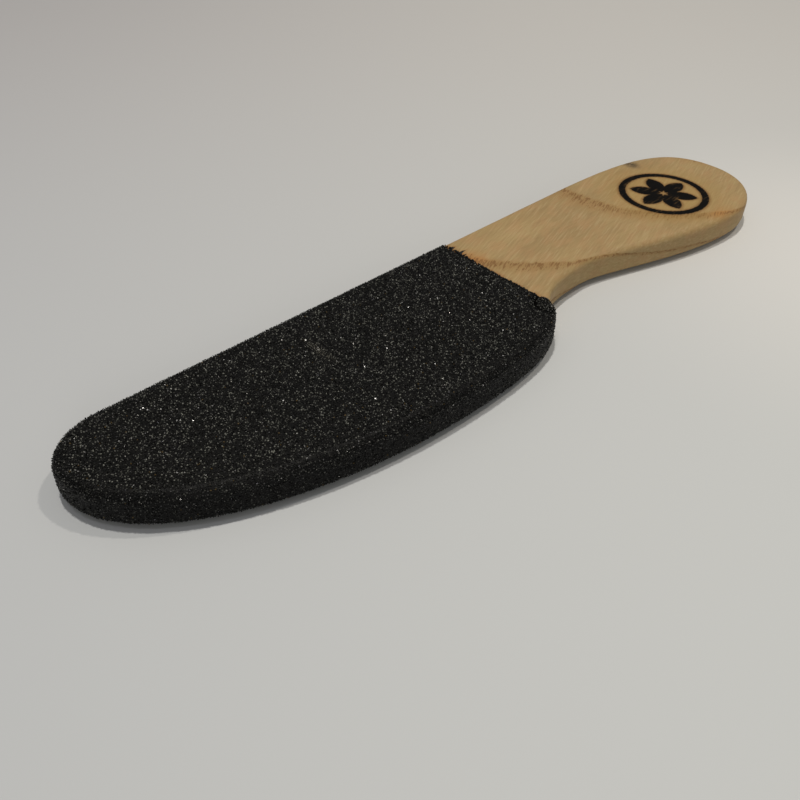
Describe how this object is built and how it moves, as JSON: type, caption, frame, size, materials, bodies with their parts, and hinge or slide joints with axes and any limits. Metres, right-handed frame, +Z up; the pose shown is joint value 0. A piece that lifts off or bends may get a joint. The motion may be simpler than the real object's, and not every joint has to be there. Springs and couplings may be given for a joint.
{
  "type": "foot file",
  "caption": "Knife-shaped wooden foot file: a flat body with a waisted, bulbous handle and a blade coated all round in coarse black grit.",
  "frame": {"origin": "middle of the footprint, on the plane that the coated blade rests on", "axes": "+X from the coated nose to the end of the handle, +Y towards the straight spine, +Z up out of the face that is up in the picture"},
  "size_m": [0.2266, 0.0508, 0.0099],
  "materials": {
    "ash_wood": "bare ash, planed and sanded, no varnish",
    "resin_bond": "cured black resin film",
    "silicon_carbide_grit": "coarse black silicon carbide grains, glinting facets"
  },
  "bodies": {
    "root": {"wooden_body": "ash_wood", "bond_coat": "resin_bond", "grit_top_face": "silicon_carbide_grit", "grit_edge": "silicon_carbide_grit", "grit_under_face": "silicon_carbide_grit"}
  },
  "joints": []
}
